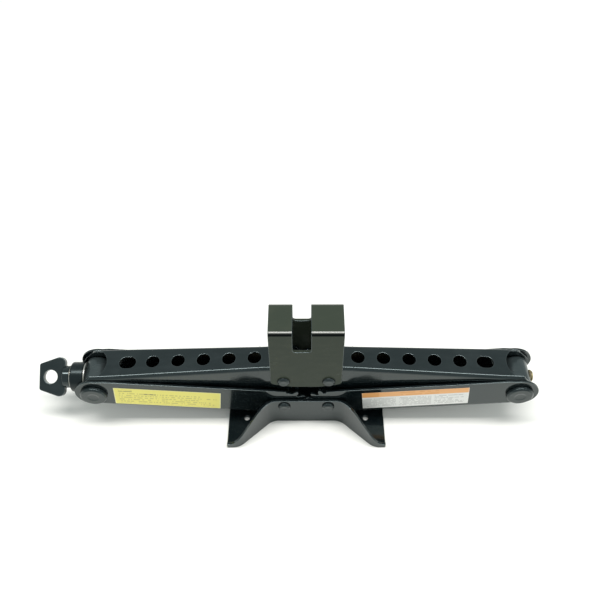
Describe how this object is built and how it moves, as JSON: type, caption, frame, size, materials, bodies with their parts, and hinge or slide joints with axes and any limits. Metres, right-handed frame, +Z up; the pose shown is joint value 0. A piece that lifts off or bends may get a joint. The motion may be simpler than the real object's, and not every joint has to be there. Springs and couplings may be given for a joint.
{
  "type": "scissor jack",
  "caption": "Pressed-steel scissor jack, folded flat: stamped base, perforated channel arms, slotted saddle, and a lead screw turned by a pierced crank eye.",
  "frame": {"origin": "middle of the underside of the base, on the ground", "axes": "+X along the lead screw, away from the crank eye; +Z up, the way the saddle lifts; -Y is the labelled front"},
  "size_m": [0.43, 0.094, 0.123],
  "materials": {
    "black_paint": "glossy black paint over pressed steel",
    "zinc": "bright zinc plate",
    "yellow_zinc": "yellow zinc plate",
    "yellow_label": "printed film, satin",
    "white_label": "printed film, satin",
    "orange_label": "printed film, satin"
  },
  "bodies": {
    "base": {"base_plate": "black_paint", "base_pivot_pin_left": "black_paint", "base_pivot_pin_right": "black_paint", "base_pin_spacer_left": "zinc", "base_pin_spacer_right": "zinc"},
    "left_lower_arm": {"lower_arm_left": "black_paint", "data_label": "yellow_label"},
    "right_lower_arm": {"lower_arm_right": "black_paint", "caution_label": "white_label", "caution_heading": "orange_label"},
    "left_upper_arm": {"upper_arm_left": "black_paint"},
    "right_upper_arm": {"upper_arm_right": "black_paint"},
    "saddle": {"saddle": "black_paint", "saddle_pivot_pin_left": "black_paint", "saddle_pivot_pin_right": "black_paint", "saddle_pin_spacer_left": "zinc", "saddle_pin_spacer_right": "zinc"},
    "left_trunnion": {"bearing_trunnion": "black_paint", "thrust_race": "zinc"},
    "right_trunnion": {"nut_trunnion": "black_paint"},
    "screw": {"lead_screw": "yellow_zinc", "thrust_balls": "zinc", "thrust_collar": "zinc", "thrust_cup": "black_paint", "hub_washer": "zinc", "drive_hub": "black_paint", "drive_eye": "black_paint"}
  },
  "joints": [
    {"name": "left_lower_arm_raise", "type": "hinge", "parent": "base", "child": "left_lower_arm", "pos_m": [-0.019, 0, 0.025], "axis": [0, 1, 0], "range_deg": [0, 54.4]},
    {"name": "right_lower_arm_raise", "type": "hinge", "parent": "base", "child": "right_lower_arm", "pos_m": [0.019, 0, 0.025], "axis": [0, -1, 0], "range_deg": [0, 54.4]},
    {"name": "left_upper_arm_fold", "type": "hinge", "parent": "left_lower_arm", "child": "left_upper_arm", "pos_m": [-0.18202, 0, 0.04098], "axis": [0, -1, 0], "range_deg": [0, 108.8]},
    {"name": "right_upper_arm_fold", "type": "hinge", "parent": "right_lower_arm", "child": "right_upper_arm", "pos_m": [0.18202, 0, 0.04098], "axis": [0, 1, 0], "range_deg": [0, 108.8]},
    {"name": "saddle_level", "type": "hinge", "parent": "left_upper_arm", "child": "saddle", "pos_m": [-0.019, 0, 0.05697], "axis": [0, 1, 0], "range_deg": [0, 54.4]},
    {"name": "left_trunnion_level", "type": "hinge", "parent": "left_lower_arm", "child": "left_trunnion", "pos_m": [-0.18202, 0, 0.04098], "axis": [0, -1, 0], "range_deg": [0, 54.4]},
    {"name": "right_trunnion_level", "type": "hinge", "parent": "right_lower_arm", "child": "right_trunnion", "pos_m": [0.18202, 0, 0.04098], "axis": [0, 1, 0], "range_deg": [0, 54.4]},
    {"name": "screw_spin", "type": "hinge", "parent": "left_trunnion", "child": "screw", "pos_m": [-0.18202, 0, 0.04098], "axis": [1, 0, 0], "continuous": true}
  ],
  "couplings": [
    {"joint": "right_lower_arm_raise", "follows": "left_lower_arm_raise", "ratio": 1},
    {"joint": "left_upper_arm_fold", "follows": "left_lower_arm_raise", "ratio": 2},
    {"joint": "right_upper_arm_fold", "follows": "left_lower_arm_raise", "ratio": 2},
    {"joint": "saddle_level", "follows": "left_lower_arm_raise", "ratio": 1},
    {"joint": "left_trunnion_level", "follows": "left_lower_arm_raise", "ratio": 1},
    {"joint": "right_trunnion_level", "follows": "left_lower_arm_raise", "ratio": 1}
  ]
}
